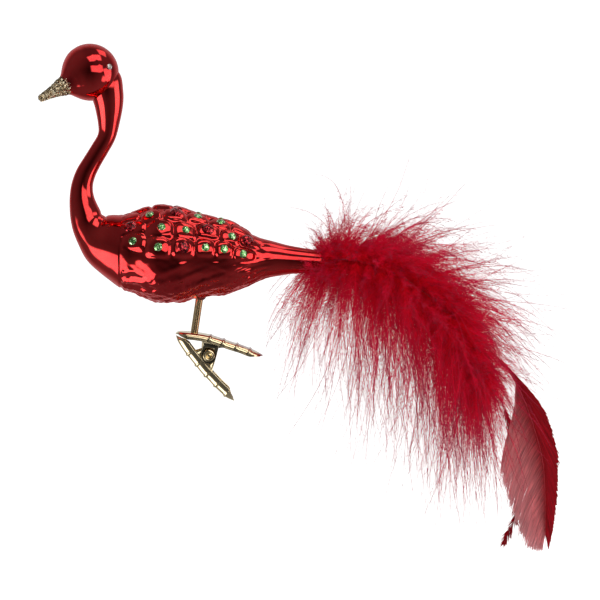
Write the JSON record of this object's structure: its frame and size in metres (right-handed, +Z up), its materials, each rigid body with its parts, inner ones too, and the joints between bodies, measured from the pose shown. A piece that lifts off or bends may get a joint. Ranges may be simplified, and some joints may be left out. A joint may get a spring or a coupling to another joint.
{
  "type": "clip-on glass bird ornament",
  "caption": "Blown-glass bird ornament with a long curved neck, glitter beak, faceted crystals, a sprung clip below its body and a trailing feather tail.",
  "frame": {"origin": "in the clip's jaw gap, where the twig that holds the bird lies", "axes": "+Z up; the bird faces -X and its tail trails towards +X; the twig and the clip's pivot run along Y"},
  "size_m": [0.1964, 0.0392, 0.1936],
  "materials": {
    "silvered_red_glass": "polished",
    "gold_glitter": "satin",
    "clear_crystal": "polished",
    "green_crystal": "polished",
    "dark_red_crystal": "polished",
    "pale_brass": "gloss",
    "spring_steel": "satin",
    "glue": "satin",
    "dyed_quill": "satin",
    "dyed_down": "matte",
    "dense_vane": "matte",
    "thin_vane": "matte"
  },
  "bodies": {
    "bird": {"glass_bird": "silvered_red_glass", "beak_glitter_coat": "gold_glitter", "eye_crystal_right": "clear_crystal", "eye_crystal_left": "clear_crystal", "green_crystal_01": "green_crystal", "green_crystal_02": "green_crystal", "green_crystal_03": "green_crystal", "green_crystal_04": "green_crystal", "green_crystal_05": "green_crystal", "green_crystal_06": "green_crystal", "green_crystal_07": "green_crystal", "green_crystal_08": "green_crystal", "green_crystal_09": "green_crystal", "green_crystal_10": "green_crystal", "green_crystal_11": "green_crystal", "green_crystal_12": "green_crystal", "green_crystal_13": "green_crystal", "green_crystal_14": "green_crystal", "green_crystal_15": "green_crystal", "green_crystal_16": "green_crystal", "green_crystal_17": "green_crystal", "green_crystal_18": "green_crystal", "green_crystal_19": "green_crystal", "green_crystal_20": "green_crystal", "green_crystal_21": "green_crystal", "green_crystal_22": "green_crystal", "red_crystal_01": "dark_red_crystal", "red_crystal_02": "dark_red_crystal", "red_crystal_03": "dark_red_crystal", "red_crystal_04": "dark_red_crystal", "red_crystal_05": "dark_red_crystal", "red_crystal_06": "dark_red_crystal", "red_crystal_07": "dark_red_crystal", "red_crystal_08": "dark_red_crystal", "red_crystal_09": "dark_red_crystal", "red_crystal_10": "dark_red_crystal", "clip_upper_jaw": "pale_brass", "clip_pivot_rivet": "pale_brass", "clip_torsion_spring": "spring_steel", "clip_post": "pale_brass", "post_glue_bead": "glue", "tail_glue_plug": "glue", "plume_middle_quill": "dyed_quill", "plume_middle_down": "dyed_down", "plume_near_quill": "dyed_quill", "plume_near_down": "dyed_down", "plume_far_quill": "dyed_quill", "plume_far_down": "dyed_down", "long_feather_quill": "dyed_quill", "long_feather_outer_web": "dense_vane", "long_feather_inner_web": "thin_vane", "narrow_feather_quill": "dyed_quill", "narrow_feather_vane": "dense_vane"},
    "lower_jaw": {"clip_lower_jaw": "pale_brass"}
  },
  "joints": [
    {"name": "clip_lever", "type": "hinge", "parent": "bird", "child": "lower_jaw", "pos_m": [0.0046, 0, -0.0036], "axis": [0, -1, 0], "range_deg": [0, 45], "stiffness_Nm_per_rad": 0.03, "springref_deg": -45.84, "deforming": ["clip_torsion_spring"]}
  ]
}
